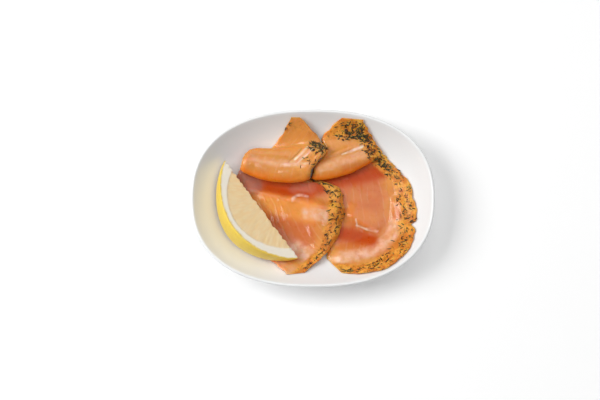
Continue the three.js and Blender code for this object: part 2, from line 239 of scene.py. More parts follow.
def build_dish():
    """A disc under the floor, extruded ring by ring along the section of the dish."""
    rings = dish_rings()
    dish = new_piece(
        "porcelain_dish", bpy.ops.mesh.primitive_circle_add, vertices=DISH_SEGMENTS, fill_type="NGON"
    )
    start_length, start_width, start_height = rings[0]
    for vertex in dish.data.vertices:
        angle = math.atan2(vertex.co.y, vertex.co.x)
        reach = oval_reach(angle, start_length, start_width) * MM
        vertex.co = (reach * math.cos(angle), reach * math.sin(angle), start_height * MM)
    bpy.ops.object.mode_set(mode="EDIT")
    bpy.ops.mesh.select_all(action="SELECT")
    for (length, width, height), (next_length, next_width, next_height) in zip(rings, rings[1:]):
        bpy.ops.mesh.extrude_region()
        bpy.ops.transform.resize(
            value=(next_length / length, next_width / width, 1), center_override=(0, 0, height * MM)
        )
        bpy.ops.transform.translate(value=(0, 0, (next_height - height) * MM))
    bpy.ops.mesh.select_all(action="SELECT")
    bpy.ops.mesh.normals_make_consistent(inside=False)
    bpy.ops.object.mode_set(mode="OBJECT")
    bpy.ops.object.shade_smooth_by_angle(angle=SHARP_ANGLE)
    return dish


finish_piece(build_dish(), glazed_porcelain(), "porcelain", "dish")

# Slices
# Two slices of cured salmon, cut thin on the slant and laid with a deep pleat each, the left over the right.
# The left edge of a slice was at the skin and its right edge at the dill, which leaves a golden coating.
SLICE_THICKNESS = 2.4
REST_GAP = 0.5  # clearance between a slice and what it lies on
EDGE_THINNING = 0.16  # share of the thickness left at a cut edge
EDGE_ROUNDING = 0.08  # share of the width over which the edge thins
EDGE_SINK = 0.3  # how far a thin edge comes down towards what it lies on
EDGE_RAGGED = (3.4, 3.6)  # how far in the uneven left and right edges reach
EDGE_SEEDS = (3.0, 8.0)
RAGGED_MEAN = 0.2  # share of that reach at which an edge lies on average
RAGGED_WAVES = ((0.5, 6.5), (0.3, 2.0))  # strength and size of the waves in an uneven edge
RAGGED_FALLOFF = 8  # higher keeps the unevenness nearer to the edge
SHEET_RUN = 150.0  # rough length of a slice with its pleat opened
SHEET_MARGIN = 0.003  # share of the length that is left off at each end
COATING_WIDTH = 10.5
COATING_WANDER = 2.5  # how far the inner border of the coating wanders
COATING_FADE = (2.5, 1.5)  # how far it fades on the inside and the outside of that border
COATING_WORN = 0.75  # share of the coating that came off where it is worn
GRIT_HEIGHT = 0.35
LUMP_HEIGHT = 0.3
DIMPLE_HEIGHT = 0.1
GOLDEN_SIDE, GOLDEN_END = 16.0, 14.0  # reach in from the right edge and the near end
PLEAT_GAP = 2.9  # height between the two lower layers of a pleat
PLEAT_SHUT = 0.3  # share of the full pleat under which it no longer doubles back
PLEAT_FLAT = (0.1, 0.4)  # shares of the full pleat between which its lower layers close up
FLAP_SETTLE = 0.75  # share of the flap behind a pleat over which it comes down from the crest
FLAP_BEND = 0.18  # share of the flap over which it first drops
FLAP_DROP = 0.25  # share of the pleat's height of that drop
CREASE_TAPER = 4.0  # how far from its end a crease starts to fade
CREASE_SHARPNESS = 1.5  # 1 is a sharp ridge, 2 a round one
SLICE_ROWS = 240
SLICE_COLUMNS = 132
FAN_CENTRE = np.array((31.0, -11.0))
FAN_RADIUS = 42.0
FAN_START = math.radians(-105)
FAN_END = math.radians(42)
FAN_SHARE = 0.523  # share of the edge that is the arc
FAN_TOP = np.array((35.5, 55.5))
FAN_BULGE = -1.8
NOTCH_AT, NOTCH_DEPTH, NOTCH_WIDTH = 0.34, 3.5, 0.01
OVERLAP_NEAR = (9.5, -40.0)
OVERLAP_FAR = (3.5, 16.0)
OVERLAP_CLIMB = 20.0
OVERLAP_REST = 0.5  # how far before the edge the climb ends
FLAKE_WIDTH = 5.2  # one layer of muscle
FLAKE_SWELL = 0.2  # how far a layer stands out between its two lines of fat
ROLL_SMOOTHING = 0.7  # share of that which is stretched out of a roll and the flap behind it
FLESH_PINK = (0.63, 0.168, 0.036, 1.0)
FLESH_GOLD = (0.75, 0.315, 0.072, 1.0)
# painted shade: the dark red of the valleys under the pleats and in front of the creases
FLESH_IN_PAINTED_SHADE = (0.53, 0.072, 0.005, 1.0)
# pinkish-white flesh under a painted sheen, on crests that face the lights
FLESH_PALE_SHEEN = (0.89, 0.54, 0.38, 1.0)
# painted glow of light shining through the front of a roll
FLESH_PAINTED_GLOW = (0.98, 0.25, 0.01, 1.0)
# painted light on the fronts of the crests
FLESH_PAINTED_LIGHT = (0.91, 0.36, 0.075, 1.0)
FAT_WHITE = (0.90, 0.60, 0.40, 1.0)
# painted glints, drawn as thin white lines of fat
GLINT_SEAM_WHITE = (0.95, 0.78, 0.66, 1.0)
# the brown muscle from near the skin, also used as painted shade in a valley
DARK_MUSCLE_AND_SHADE = (0.50, 0.20, 0.135, 1.0)
COATING_GOLD = (0.86, 0.385, 0.065, 1.0)
COATING_ORANGE = (0.67, 0.225, 0.03, 1.0)
COATING_BROWN = (0.40, 0.145, 0.02, 1.0)
FLESH_ROUGHNESS = (0.26, 0.44)
FLESH_WETNESS = 0.45
# Stripes on the flesh, the lowest first: what marks them, their colour, and whether they are streaky.
# Most are painted: light on crests, a sheen, a glow through rolls, shade in valleys, glints; dark muscle is
# real.
FLESH_STRIPES = (
    ("painted_light", FLESH_PAINTED_LIGHT, False),
    ("pale_sheen", FLESH_PALE_SHEEN, True),
    ("glow", FLESH_PAINTED_GLOW, False),
    ("deep", FLESH_IN_PAINTED_SHADE, False),
    ("dark_muscle_and_shade", DARK_MUSCLE_AND_SHADE, False),
    ("glint_seam", GLINT_SEAM_WHITE, True),
)


def smooth_step(value, low, high):
    share = np.clip((value - low) / (high - low), 0, 1)
    return share * share * (3 - 2 * share)


def unit(vectors):
    return vectors / np.maximum(np.linalg.norm(vectors, axis=-1, keepdims=True), 1e-9)


def dish_inset(x, y):
    """Distance in from the dish's edge to the oval through each point, by halving."""
    low = np.zeros_like(x)
    high = np.full_like(x, HALF_WIDTH - 0.5)
    for _ in range(30):
        middle = (low + high) / 2
        across = (np.abs(x) / (HALF_LENGTH - middle)) ** OVAL_POWER
        across += (np.abs(y) / (HALF_WIDTH - middle)) ** OVAL_POWER
        low = np.where(across < 1, middle, low)
        high = np.where(across < 1, high, middle)
    return low


def dish_height(x, y):
    climb = np.maximum(0, WALL_RUN - dish_inset(x, y)) / WALL_REACH
    return FLOOR_HEIGHT + WALL_RISE * climb**2


def spline_edge(*points):
    """A smooth edge through points in plan, as a function of the share of the way along it."""
    knots = np.array(points, float)
    last = len(knots) - 1

    def edge(along):
        spot = np.clip(along, 0, 1) * last
        first = np.floor(spot).astype(int)
        share = (spot - first)[..., None]
        before, start = knots[np.maximum(first - 1, 0)], knots[first]
        end, after = knots[np.minimum(first + 1, last)], knots[np.minimum(first + 2, last)]
        leave, arrive = (end - before) / 2, (after - start) / 2
        cubic = (2 * start - 2 * end + leave + arrive) * share**3
        square = (3 * end - 3 * start - 2 * leave - arrive) * share**2
        return cubic + square + leave * share + start

    return edge


def fan_edge(along):
    """The right edge of the right slice: an arc with a notch, then a bowed run to the top."""
    turn = lerp(FAN_START, FAN_END, np.minimum(1, along / FAN_SHARE))
    squared = np.abs(np.cos(turn)) ** OVAL_POWER + np.abs(np.sin(turn)) ** OVAL_POWER
    radius = FAN_RADIUS * squared ** (-1 / OVAL_POWER)
    radius = radius - NOTCH_DEPTH * np.exp(-(((along - NOTCH_AT) / NOTCH_WIDTH) ** 2))
    straight = (np.maximum(0, along - FAN_SHARE) / (1 - FAN_SHARE))[..., None]
    arc = FAN_CENTRE + np.stack([radius * np.cos(turn), radius * np.sin(turn)], -1)
    bulge = FAN_BULGE * np.sin(math.pi * straight)
    return lerp(arc, FAN_TOP, straight) + bulge * np.array((math.cos(FAN_END), math.sin(FAN_END)))


def line_distance(line, x, y):
    """Distance in plan from each point to a line of straight runs."""
    nearest = np.full_like(x, 1e9)
    for (ax, ay), (bx, by) in zip(line, line[1:]):
        share = ((x - ax) * (bx - ax) + (y - ay) * (by - ay)) / ((bx - ax) ** 2 + (by - ay) ** 2)
        share = np.clip(share, 0, 1)
        nearest = np.minimum(nearest, np.hypot(x - lerp(ax, bx, share), y - lerp(ay, by, share)))
    return nearest


def ridge_lift(ridges, x, y):
    lift = np.zeros_like(x)
    for line, height, width in ridges:
        lift = lift + height * np.exp(-((line_distance(line, x, y) / width) ** 2))
    return lift


def crease_lift(creases, x, y):
    """Height that straight creases add: each falls off at its own pace behind and in front of its line."""
    lift = np.zeros_like(x)
    for (ax, ay), (bx, by), height, behind, before in creases:
        length = math.hypot(bx - ax, by - ay)
        along = ((x - ax) * (bx - ax) + (y - ay) * (by - ay)) / length
        side = ((y - ay) * (bx - ax) - (x - ax) * (by - ay)) / length
        inside = np.minimum(along, length - along)
        ends = smooth_step(inside, -CREASE_TAPER, CREASE_TAPER)
        off = np.abs(side) / np.where(side > 0, behind, before)
        lift = lift + height * ends * np.exp(-(off**CREASE_SHARPNESS))
    return lift


def overlap_climb(x, y):
    """How much of the climb from the dish onto the edge of the right slice is done at each point."""
    run_x, run_y = OVERLAP_FAR[0] - OVERLAP_NEAR[0], OVERLAP_FAR[1] - OVERLAP_NEAR[1]
    side = ((x - OVERLAP_NEAR[0]) * run_y - (y - OVERLAP_NEAR[1]) * run_x) / math.hypot(run_x, run_y)
    return smooth_step(side, -OVERLAP_CLIMB, -OVERLAP_REST)


# The overlap is how far a slice climbs onto the other one.
# A crease is its two ends, its height, and how far it reaches behind and in front; a ridge has one reach.
# Painted shade, sheen, light, glints drawn as lines of fat, and the dark muscle lie along lines with a reach
# and a strength.
# The coating covers all of a slice from one place on, and is worn from another; a 2 is past the far end.
RIGHT_SLICE = {
    "name": "salmon_slice_right",
    "seed": 11.0,
    "left_edge": spline_edge(
        (9, -40), (10.5, -31), (11, -22), (10.5, -13), (9, -4), (6.5, 5),
        (4.4, 12), (0.0, 19.7), (8.1, 33.6), (6.2, 45), (20.5, 57),
    ),
    "right_edge": fan_edge,
    "overlap": 0.0,
    "rows": (24, 15, 9),
    "fold": {"at": 0.7, "advance": 0.04, "reach": 5.5, "rise": 11.5, "fade": 0.95, "bulge": 0.6},
    "ridges": [
        ([(20, -39), (36, -34), (53, -30), (60, -17), (61, -3)], 2.2, 5.0),
    ],
    "creases": [
        ((25, -9), (47, -22), 2.8, 9.0, 3.2),
        ((30, -14), (44, -21), 0.7, 1.2, 0.8),
        ((13, 31), (27, 37), 1.0, 1.3, 1.0),
    ],
    # painted shade under the roll and in the valley in front of the crease
    "deep": [
        ([(6, 13.5), (22, 16), (36, 18.5), (48, 21)], 6.0, 1.0),
        ([(17, -22.5), (30, -25), (41, -28)], 5.5, 1.0),
    ],
    # pinkish-white flesh with a painted sheen along the crests
    "pale_sheen": [
        ([(20, -41), (33, -39), (44, -35), (55, -26), (58, -17)], 4.5, 0.9),
        ([(6, 22), (20, 27), (34, 31)], 3.0, 0.5),
    ],
    # painted glints along the folds
    "glint_seam": [
        ([(21, 32), (35, 37.5)], 0.9, 0.9),
        ([(31, -17), (45, -21.5)], 0.7, 0.8),
        ([(30.5, -13), (31.5, -16)], 0.5, 0.7),
    ],
    # painted light along the crease
    "painted_light": [([(28, -8), (40, -13)], 6.0, 0.3)],
    "dark_muscle_and_shade": [],
    "coated_from": 0.9,
    "worn_from": 2.0,
}
LEFT_SLICE = {
    "name": "salmon_slice_left",
    "seed": 29.0,
    "left_edge": spline_edge(
        (-17.5, -53), (-31, -40.5), (-46, -6.5), (-54.3, 15),
        (-49.8, 24.3), (-45, 34.5), (-30, 36.5), (-15.5, 57.5),
    ),
    "right_edge": spline_edge(
        (-5, -51.5), (13.3, -33.3), (22.3, -11), (19.5, 8.5),
        (-1.3, 17), (10.2, 33.3), (5.2, 43), (-8.5, 57),
    ),
    "overlap": 3.1,
    "rows": (22, 15, 11),
    "fold": {"at": 0.59, "advance": 0.04, "reach": 5.0, "rise": 13.0, "fade": 0.0, "bulge": 0.9},
    "ridges": [
        ([(-50, 19), (-43, 9)], 2.0, 5.0),
        ([(5, 30), (12, 34)], 4.0, 6.0),
        ([(-15, 1), (-11, 3.5), (-5, 3)], 1.3, 2.0),
        ([(-13, 0), (-7, 1), (-4, 0)], 0.9, 1.2),
    ],
    "creases": [
        ((-49, 8), (19, -8), 4.4, 3.8, 11.0),
        ((-16, 26), (-6, 36.5), -1.3, 1.2, 0.9),
        ((-13, 25), (-3, 35), 0.7, 1.2, 1.6),
    ],
    # painted shade in the valley between the roll and the crest before it
    "deep": [
        ([(-44, 12.5), (-20, 7.5)], 5.5, 0.9),
        ([(-20, 7.5), (-5, 7), (6, 10)], 6.0, 1.0),
    ],
    # pinkish-white flesh with a painted sheen on the crests and the low end
    "pale_sheen": [
        ([(-4, -9), (4, -10), (12, -12)], 4.0, 1.0),
        ([(-12, -34), (-7, -37), (-1, -42)], 6.5, 1.0),
        ([(-26, -46), (-13, -52)], 4.5, 0.6),
        ([(-44, 29), (-26, 25), (-6, 24)], 2.5, 0.5),
        ([(-9, 27), (0, 35)], 1.2, 0.8),
    ],
    # painted glints on the wet folds and the flap
    "glint_seam": [
        ([(-14, 0.5), (-11, 2.8), (-8, 3.2), (-4, 2)], 1.0, 0.75),
        ([(-12, 27), (-3, 36)], 0.8, 0.8),
        ([(-10, 25), (0, 34)], 0.6, 0.6),
        ([(-22, 23.5), (-3, 24)], 0.9, 0.6),
    ],
    # painted light on the front of the crest
    "painted_light": [([(-47, 2), (-30, -2), (-14, -5.5), (0, -9)], 7.5, 0.9)],
    "dark_muscle_and_shade": [
        ([(-55, 20), (-50, 16), (-42, 11)], 7.0, 1.0),
        # painted shade in the valley under the roll
        ([(-12, 8), (-2, 9)], 4.5, 0.4),
    ],
    "coated_from": 2.0,
    "worn_from": 0.5,
}


def station(cut, place):
    """The share of the plan length at each place along a slice, and how far through its pleat it is."""
    before, fold, after = cut["rows"]
    row = place * (before + fold + after)
    start = cut["fold"]["at"] - cut["fold"]["advance"] / 2
    end = cut["fold"]["at"] + cut["fold"]["advance"] / 2
    turn = np.clip((row - before) / fold, 0, 1)
    along = np.where(row < before, start * row / before, lerp(start, end, turn))
    along = np.where(row > before + fold, lerp(end, 1, (row - before - fold) / after), along)
    return along, turn


def plan_point(cut, along, across):
    return lerp(cut["left_edge"](along), cut["right_edge"](along), across[..., None])


def bend(share):
    """The height of one round bend of a pleat, from 0 to 1."""
    return (1 - np.cos(math.pi * np.clip(share, 0, 1))) / 2


def behind_crest(cut, along):
    """Share of the way from the crest of a pleat to the far end of its slice."""
    crest = cut["fold"]["at"] + cut["fold"]["advance"] / 2
    return (along - crest) / (1 - crest)


def pleat_push(cut, turn, across):
    """How far the pleat carries the sheet to and fro, and which way in plan."""
    fold = cut["fold"]
    keep = 1 - fold["fade"] * across**2
    opened = np.maximum(0, keep - PLEAT_SHUT) / (1 - PLEAT_SHUT)
    bowed = 1 + fold["bulge"] * 4 * across * (1 - across)
    ahead = plan_point(cut, np.full_like(across, fold["at"] + fold["advance"]), across)
    behind = plan_point(cut, np.full_like(across, fold["at"] - fold["advance"]), across)
    return unit(ahead - behind) * (fold["reach"] * opened * bowed * np.sin(2 * math.pi * turn))[..., None]


def pleat_lift(cut, along, turn, across):
    """The pleat runs on under itself, back towards the near end, and rolls over on top."""
    fold = cut["fold"]
    keep = 1 - fold["fade"] * across**2
    share = behind_crest(cut, along)
    slow_drop = (1 - FLAP_DROP) * smooth_step(share, FLAP_BEND / 2, FLAP_SETTLE)
    settled = 1 - FLAP_DROP * smooth_step(share, 0, FLAP_BEND) - slow_drop
    lower = PLEAT_GAP * smooth_step(keep, *PLEAT_FLAT) * bend(2 * turn)
    upper = (fold["rise"] - PLEAT_GAP) * keep * bend(2 * turn - 1)
    return settled * (lower + upper)


def sheet_points(cut, place, across):
    """The middle of the sheet, in millimetres, at each place along it and share across it."""
    along, turn = station(cut, place)
    plan = plan_point(cut, along, across) + pleat_push(cut, turn, across)
    x, y = plan[..., 0], plan[..., 1]
    floor = dish_height(x, y)
    step = 0.5
    slope = np.hypot((dish_height(x + step, y) - floor) / step, (dish_height(x, y + step) - floor) / step)
    rest = (SLICE_THICKNESS / 2 + REST_GAP) * np.hypot(1, slope)
    bumps = ridge_lift(cut["ridges"], x, y) + crease_lift(cut["creases"], x, y)
    lift = rest + pleat_lift(cut, along, turn, across) + bumps + cut["overlap"] * overlap_climb(x, y)
    return np.stack([x, y, floor + lift], -1)


def edge_round(place, across):
    """Share of the full thickness, thinner in a round towards every edge."""
    inward = np.minimum(np.minimum(place, 1 - place), np.minimum(across, 1 - across)) / EDGE_ROUNDING
    rounding = np.sin(math.pi / 2 * np.clip(inward, 0, 1))
    return lerp(EDGE_THINNING, 1, rounding)


def sheet_frame(cut, place, across):
    """Points of the sheet, its runs for a whole share along and across it, and the way out of its top.

    The thin edges are let down, so that their underside lies as low as the rest.
    """
    step = 0.002
    points = sheet_points(cut, place, across)
    points[..., 2] -= (SLICE_THICKNESS / 2 + EDGE_SINK) * (1 - edge_round(place, across))
    onward = sheet_points(cut, place + step, across) - sheet_points(cut, place - step, across)
    sideways = sheet_points(cut, place, across + step) - sheet_points(cut, place, across - step)
    return points, onward / (2 * step), sideways / (2 * step), unit(np.cross(sideways, onward))


def along_lines(lines, x, y):
    """The strongest of some soft stripes at each point."""
    share = np.zeros_like(x)
    for line, reach, strength in lines:
        share = np.maximum(share, strength * np.exp(-((line_distance(line, x, y) / reach) ** 4)))
    return share


def apply_modifier(piece, kind, **settings):
    modifier = piece.modifiers.new(kind.title(), kind)
    for name, value in settings.items():
        setattr(modifier, name, value)
    bpy.ops.object.modifier_apply(modifier=modifier.name)


def set_attribute(piece, name, values):
    layer = piece.data.attributes.new(name, "FLOAT", "POINT")
    layer.data.foreach_set("value", np.asarray(values, np.float32).ravel())


def vertex_array(piece, source="vertices", field="co"):
    values = np.zeros(len(piece.data.vertices) * 3, np.float32)
    getattr(piece.data, source).foreach_get(field, values)
    return values.reshape(-1, 3).astype(float)


def move_vertices(piece, points):
    piece.data.vertices.foreach_set("co", points.astype(np.float32).ravel())
    piece.data.update()


def noise_at(points, scale, offset=0.0):
    """Smooth noise from -1 to 1 at points in millimetres, with features of about the given size."""
    shift = Vector((offset, offset * 1.7, offset * 0.3))
    return np.array([noise.noise(Vector(point) / scale + shift) for point in points])


def sheet_length(cut, place):
    """Rough distance along a slice, and its width there."""
    along, _ = station(cut, place)
    width = np.linalg.norm(cut["right_edge"](along) - cut["left_edge"](along), axis=-1)
    return place * SHEET_RUN, width


def ragged(cut, place, across):
    """The share across a slice with its long edges pulled in unevenly, except inside its pleat."""
    run, width = sheet_length(cut, place)
    _, turn = station(cut, place)
    free = 1 - np.sin(math.pi * turn)
    pulled = []
    for seed, reach in zip(EDGE_SEEDS, EDGE_RAGGED):
        line = np.stack([run, np.full_like(run, seed), np.full_like(run, cut["seed"])], -1)
        uneven = RAGGED_MEAN + sum(share * noise_at(line, size, seed) for share, size in RAGGED_WAVES)
        pulled.append(reach * free * np.maximum(uneven, -RAGGED_MEAN) / width)
    return across + (1 - across) ** RAGGED_FALLOFF * pulled[0] - across**RAGGED_FALLOFF * pulled[1]


def coating_share(cut, points, place, inset):
    """How much golden coating lies at each point: a band at the right edge, and a coated far end."""
    border = COATING_WIDTH + COATING_WANDER * noise_at(points, 9.0, 3.0)
    coating = smooth_step(inset, border + COATING_FADE[0], border - COATING_FADE[1])
    coating = np.maximum(coating, smooth_step(place, cut["coated_from"], cut["coated_from"] + 0.04))
    return coating * (1 - COATING_WORN * smooth_step(place, cut["worn_from"], cut["worn_from"] + 0.12))


def flake_swell(points, flake, turn):
    """How far the layers of muscle stand out, less where the slice is stretched over a roll."""
    off_line = np.abs(flake - np.round(flake))
    uneven = 0.55 + 0.45 * noise_at(points, 20.0, 4.0)
    stretched = 1 - ROLL_SMOOTHING * smooth_step(turn, 0.5, 0.7)
    return FLAKE_SWELL * (1 - (1 - 2 * off_line) ** 4) * uneven * stretched


def paint_flesh(piece, cut, points, turn, inset, run):
    """Marks where the flesh is golden, and where painted shade, glow, sheen, glints and light and the dark
    muscle lie.
    """
    x, y = points[:, 0], points[:, 1]
    under = 1 - smooth_step(turn, 0.55, 0.7)
    # painted shade on the underside of the pleat that is folded under the roll
    shade_folded_under = smooth_step(turn, 0.3, 0.5) * under
    margin = np.exp(-((inset / GOLDEN_SIDE) ** 2)) + np.exp(-((run / GOLDEN_END) ** 2))
    golden = np.maximum(smooth_step(turn, 0.7, 1.0), margin)
    set_attribute(piece, "golden", np.clip(golden, 0, 1))
    # the deep mark is painted shade: the folded-under part and the valleys along its lines
    set_attribute(piece, "deep", np.maximum(shade_folded_under, under * along_lines(cut["deep"], x, y)))
    # painted glow of light through the front of the roll
    set_attribute(piece, "glow", smooth_step(turn, 0.5, 0.66) * (1 - smooth_step(turn, 0.76, 0.93)))
    # pinkish-white flesh under a painted sheen, and painted glints drawn as lines of fat
    for name in ("pale_sheen", "glint_seam"):
        set_attribute(piece, name, along_lines(cut[name], x, y))
    # painted light on the crests, and the dark muscle with some painted shade, below the roll's top layer
    for name in ("painted_light", "dark_muscle_and_shade"):
        set_attribute(piece, name, under * along_lines(cut[name], x, y))


def thicken(piece, shares):
    """Gives a sheet its thickness, by the share of it that each point has."""
    thickness = piece.vertex_groups.new(name="thickness")
    for index, share in enumerate(shares):
        thickness.add([index], float(share), "REPLACE")
    apply_modifier(
        piece,
        "SOLIDIFY",
        thickness=SLICE_THICKNESS * MM,
        offset=0,
        vertex_group="thickness",
        use_quality_normals=True,
    )


def build_slice(cut):
    """A grid laid out as the folded sheet, with its relief and the marks for its colours, and thickened."""
    piece = new_piece(
        cut["name"],
        bpy.ops.mesh.primitive_grid_add,
        x_subdivisions=SLICE_COLUMNS,
        y_subdivisions=SLICE_ROWS,
        size=1,
    )
    flat = vertex_array(piece)
    place = np.clip(flat[:, 1] + 0.5, SHEET_MARGIN, 1 - SHEET_MARGIN)
    across = ragged(cut, place, np.clip(flat[:, 0] + 0.5, 0, 1))
    points, _, _, outward = sheet_frame(cut, place, across)
    run, width = sheet_length(cut, place)
    _, turn = station(cut, place)
    inset = (1 - across) * width
    shares = edge_round(place, across)

    wander = 0.5 * noise_at(points, 16.0, 7.0) + 0.12 * noise_at(points, 5.0, 2.0)
    flake = across * width / FLAKE_WIDTH + wander
    coating = coating_share(cut, points, place, inset)
    grit = GRIT_HEIGHT * coating * np.abs(noise_at(points, 1.6, 9.0))
    lumps = LUMP_HEIGHT * noise_at(points, 8.0, 1.0) + DIMPLE_HEIGHT * noise_at(points, 2.8, 5.0)
    relief = (flake_swell(points, flake, turn) + grit + lumps) * shares
    move_vertices(piece, (points + outward * relief[:, None]) * MM)

    set_attribute(piece, "coating", coating)
    set_attribute(piece, "flake", flake)
    paint_flesh(piece, cut, points, turn, inset, run)
    thicken(piece, shares)
    bpy.ops.object.shade_smooth()
    return piece


def attribute(tree, name):
    return add_node(tree, "Attribute", attribute_name=name).outputs["Fac"]


def flesh_colour(tree, place):
    """Pink to golden flesh with broken lines of fat, and over them the soft stripes of a slice, most of them
    painted light and shade.
    """
    cloud = noise_value(tree, place, 60.0, 4.0)
    golden = calculated(tree, "ADD", attribute(tree, "golden"), ranged(tree, cloud, 0.3, 0.7, -0.35, 0.35))
    flesh = mixed_colour(tree, ranged(tree, golden, 0.0, 1.0), FLESH_PINK, FLESH_GOLD)
    off_line = calculated(tree, "PINGPONG", attribute(tree, "flake"), 0.5)
    broken = ranged(tree, noise_value(tree, place, 130.0, 2.0), 0.35, 0.65, 0.0, 0.14)
    fat = calculated(tree, "MULTIPLY", ranged(tree, off_line, 0.0, 0.22, 1.0, 0.0), broken)
    flesh = mixed_colour(tree, fat, flesh, FAT_WHITE)
    streaks = ranged(tree, noise_value(tree, place, 220.0, 3.0), 0.3, 0.7, 0.3, 1.0)
    for name, colour, is_streaky in FLESH_STRIPES:
        share = attribute(tree, name)
        if is_streaky:
            share = calculated(tree, "MULTIPLY", share, streaks)
        flesh = mixed_colour(tree, share, flesh, colour)
    return flesh


def coating_colour(tree, place):
    """Golden and orange patches, with brown grit that lies in clusters."""
    patches = ranged(tree, noise_value(tree, place, 170.0, 2.0), 0.38, 0.62)
    gold = mixed_colour(tree, patches, COATING_GOLD, COATING_ORANGE)
    clusters = ranged(tree, noise_value(tree, place, 150.0, 2.0), 0.3, 0.7, -0.05, 0.07)
    grit = calculated(tree, "ADD", noise_value(tree, place, 620.0, 3.0, 0.7), clusters)
    return mixed_colour(tree, ranged(tree, grit, 0.53, 0.66), gold, COATING_BROWN)


def cured_salmon():
    """Wet, translucent flesh under a golden coating, and less shiny where painted shade or a painted glow
    lies, or where it is coated.
    """
    material, tree, shader = new_material("cured_salmon")
    place = object_place(tree)
    coating = attribute(tree, "coating")
    shine = noise_value(tree, place, 240.0, 3.0)
    fibre = noise_value(tree, place, 600.0, 4.0, 0.6)
    dull = calculated(tree, "MAXIMUM", attribute(tree, "deep"), coating)
    dull = calculated(tree, "MAXIMUM", dull, ranged(tree, attribute(tree, "glow"), 0.0, 1.0, 0.0, 0.7))
    feed_all(tree, shader, {
        "Base Color": mixed_colour(tree, coating, flesh_colour(tree, place), coating_colour(tree, place)),
        "Roughness": ranged(tree, shine, 0.3, 0.7, *FLESH_ROUGHNESS),
        "Normal": bumped(tree, fibre, 0.12 * MM, 0.5),
        "Coat Weight": ranged(tree, dull, 0.0, 1.0, FLESH_WETNESS, 0.0),
        "Coat Roughness": 0.1,
        "Subsurface Weight": 0.8,
        "Subsurface Radius": (1.0, 0.35, 0.12),
        "Subsurface Scale": 4.0 * MM,
        "Specular IOR Level": 0.4,
        "IOR": 1.33,
    })
    return material


salmon = cured_salmon()
finish_piece(build_slice(RIGHT_SLICE), salmon, "salmon", "slice_right")
finish_piece(build_slice(LEFT_SLICE), salmon, "salmon", "slice_left")

# Dill
# The chopped dill that the fish was cured under: dark threads a few millimetres long, many of them forked.
# They stick to the golden band on the edges of both slices, and lie in clumps where the edges fold over.
DILL_SEED = 7
THREAD_RINGS = 5
THREAD_SIDES = 4
THREAD_RADIUS = 0.36
THREAD_FLATNESS = 0.75  # height of a thread as a share of its width
THREAD_WIDTHS = (0.7, 1.25)  # shares of the usual width
THREAD_LENGTHS = (0.9, 3.8)
THREAD_STRETCH = 1.3  # limit for a thread that a pleat draws out
THREAD_CURL = 0.45
THREAD_RISE = (1.2, 0.45)  # shape and scale of how far the tips stand up
THREAD_SEAT = 0.25  # height of a thread's middle over the slice
THREAD_ENDS = (0.004, 0.996)  # shares of a slice's length that threads keep to
THREAD_SIDEWAYS = (-0.02, 1.03)  # shares of its width
FORK_CHANCE = 0.3
FORK_TURNS = (0.5, 0.95)
FORK_LENGTH = 0.62  # share of the thread that it forks from
FORK_RISE = 0.3
DILL_DARK = (0.022, 0.018, 0.006, 1.0)
DILL_GREEN = (0.12, 0.095, 0.02, 1.0)
# A bed of threads is its slice, how many, and the shares of the slice's length and width that they lie in.
DILL_BEDS = [
    (RIGHT_SLICE, 210, (0.01, 0.5), (0.8, 1.0)),
    (RIGHT_SLICE, 20, (0.5, 0.81), (0.84, 0.98)),
    (RIGHT_SLICE, 60, (0.8, 0.93), (0.7, 0.99)),
    (RIGHT_SLICE, 60, (0.91, 0.985), (0.15, 0.97)),
    (RIGHT_SLICE, 80, (0.905, 0.965), (0.4, 0.9)),
    (LEFT_SLICE, 110, (0.02, 0.44), (0.84, 1.0)),
    (LEFT_SLICE, 30, (0.775, 0.9), (0.78, 0.99)),
    (LEFT_SLICE, 65, (0.825, 0.885), (0.78, 0.99)),
    (LEFT_SLICE, 8, (0.965, 0.985), (0.0, 0.08)),
]


def dill_spread(rng, count, place_range, across_range):
    """Where the threads of a bed start, thicker towards its outer side, and how each one lies."""
    place = rng.uniform(*place_range, count)
    across = lerp(*across_range, rng.beta(1.4, 1.2, count))
    heading = rng.uniform(0, 2 * math.pi, count)
    length = lerp(*THREAD_LENGTHS, rng.beta(1.6, 1.5, count))
    return place, across, heading, length


def thread_paths(cut, place, across, heading, length, curl, rise):
    """Points along each thread, which bends as it goes and follows the sheet under it.

    With them come the way out of the sheet, and the shares along and across it, at each point.
    """
    _, onward, sideways, _ = sheet_frame(cut, np.clip(place, *THREAD_ENDS), across)
    share = np.linspace(0, 1, THREAD_RINGS)
    turn = heading[:, None] + curl[:, None] * share
    step = length[:, None] / (THREAD_RINGS - 1) * (share > 0)
    onward_run = np.cumsum(np.sin(turn) * step, 1) / np.linalg.norm(onward, axis=-1)[:, None]
    sideways_run = np.cumsum(np.cos(turn) * step, 1) / np.linalg.norm(sideways, axis=-1)[:, None]
    places = np.clip(place[:, None] + onward_run, *THREAD_ENDS)
    acrosses = np.clip(across[:, None] + sideways_run, *THREAD_SIDEWAYS)
    on_edge = ragged(cut, places.ravel(), acrosses.ravel()).reshape(places.shape)
    points, _, _, outward = sheet_frame(cut, places, on_edge)
    surface = SLICE_THICKNESS / 2 * edge_round(places, acrosses) + THREAD_SEAT
    points = points + outward * (surface + rise[:, None] * share**2)[..., None]
    return points, outward, places, acrosses


